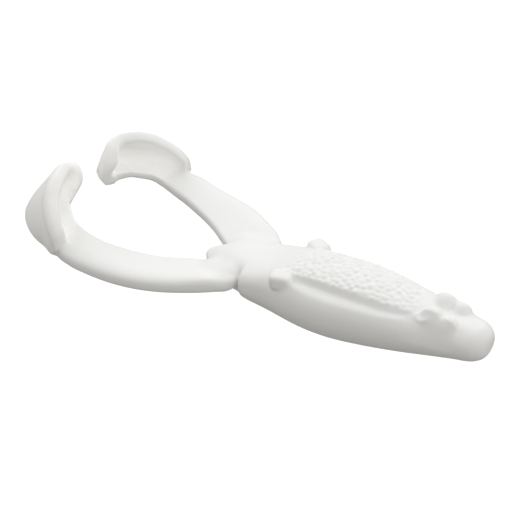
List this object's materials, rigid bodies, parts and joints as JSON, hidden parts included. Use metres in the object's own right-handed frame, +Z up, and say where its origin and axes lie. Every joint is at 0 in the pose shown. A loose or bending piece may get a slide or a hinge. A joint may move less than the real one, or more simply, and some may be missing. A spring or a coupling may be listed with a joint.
{
  "type": "soft plastic toad lure",
  "caption": "Soft plastic toad-shaped fishing lure: plump trunk with flat nose, eye bumps, flank channels, strap legs and curled scoop feet that flex.",
  "frame": {"origin": "centre of the flat nose face", "axes": "+X forward out of the nose, +Y to the toad's left, +Z up"},
  "size_m": [0.115, 0.0448, 0.0183],
  "materials": {
    "soft_white": "satin"
  },
  "bodies": {
    "trunk": {"trunk": "soft_white"},
    "left_hip": {"left_hip": "soft_white"},
    "left_leg": {"left_leg": "soft_white"},
    "left_foot": {"left_foot": "soft_white"},
    "left_toe": {"left_toe": "soft_white"},
    "right_hip": {"right_hip": "soft_white"},
    "right_leg": {"right_leg": "soft_white"},
    "right_foot": {"right_foot": "soft_white"},
    "right_toe": {"right_toe": "soft_white"}
  },
  "joints": [
    {"name": "left_hip_swing", "type": "hinge", "parent": "trunk", "child": "left_hip", "pos_m": [-0.057, 0.0048, -0.00755], "axis": [0, 0, -1], "range_deg": [-2.5, 25], "stiffness_Nm_per_rad": 0.006},
    {"name": "left_leg_kick", "type": "hinge", "parent": "left_hip", "child": "left_leg", "pos_m": [-0.072, 0.0136, -0.00755], "axis": [0, 1, 0], "range_deg": [-30, 30], "stiffness_Nm_per_rad": 0.0022},
    {"name": "left_foot_flap", "type": "hinge", "parent": "left_leg", "child": "left_foot", "pos_m": [-0.0894, 0.0177, -0.00755], "axis": [0, 1, 0], "range_deg": [-25, 25], "stiffness_Nm_per_rad": 0.0012},
    {"name": "left_toe_curl", "type": "hinge", "parent": "left_foot", "child": "left_toe", "pos_m": [-0.10695, 0.01, 0.0001], "axis": [0.6628, -0.013, 0.7487], "range_deg": [-20, 10], "stiffness_Nm_per_rad": 0.0004},
    {"name": "right_hip_swing", "type": "hinge", "parent": "trunk", "child": "right_hip", "pos_m": [-0.057, -0.0048, -0.00755], "axis": [0, 0, 1], "range_deg": [-2.5, 25], "stiffness_Nm_per_rad": 0.006},
    {"name": "right_leg_kick", "type": "hinge", "parent": "right_hip", "child": "right_leg", "pos_m": [-0.072, -0.0136, -0.00755], "axis": [0, 1, 0], "range_deg": [-30, 30], "stiffness_Nm_per_rad": 0.0022},
    {"name": "right_foot_flap", "type": "hinge", "parent": "right_leg", "child": "right_foot", "pos_m": [-0.0894, -0.0177, -0.00755], "axis": [0, 1, 0], "range_deg": [-25, 25], "stiffness_Nm_per_rad": 0.0012},
    {"name": "right_toe_curl", "type": "hinge", "parent": "right_foot", "child": "right_toe", "pos_m": [-0.10695, -0.01, 0.0001], "axis": [-0.6628, -0.013, -0.7487], "range_deg": [-20, 10], "stiffness_Nm_per_rad": 0.0004}
  ]
}
